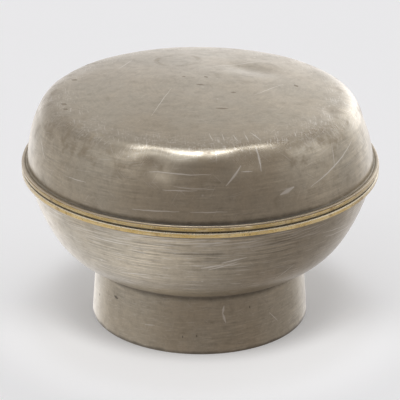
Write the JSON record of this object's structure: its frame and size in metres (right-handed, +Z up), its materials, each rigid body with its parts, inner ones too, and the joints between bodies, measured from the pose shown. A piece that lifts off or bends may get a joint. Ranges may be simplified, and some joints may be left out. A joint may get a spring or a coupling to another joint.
{
  "type": "covered sugar bowl",
  "caption": "Round covered sugar bowl: a deep bowl on a hollow, slightly flared foot ring and a lift-off lid with a wide flat-topped dome, both mouths bound in narrow brass rims.",
  "frame": {"origin": "centre of the plane that the foot stands on, on the bowl's turning axis", "axes": "+Z is up along the turning axis, and X and Y are any two level directions, because the object is round"},
  "size_m": [0.13, 0.13, 0.0892],
  "materials": {
    "pewter": "dull, hand-worn pewter with fine turning lines",
    "brass": "worn, slightly tarnished",
    "solder": "dull grey, uneven"
  },
  "bodies": {
    "bowl": {"bowl_shell": "pewter", "bowl_rim": "brass", "bowl_rim_solder": "solder", "bowl_collar": "pewter", "foot_ring": "pewter", "foot_solder": "solder"},
    "lid": {"lid_shell": "pewter", "lid_rim": "brass", "lid_rim_solder": "solder"}
  },
  "joints": [
    {"name": "lid_lift", "type": "slide", "parent": "bowl", "child": "lid", "axis": [0, 0, 1], "range_m": [0, 0.08]}
  ]
}
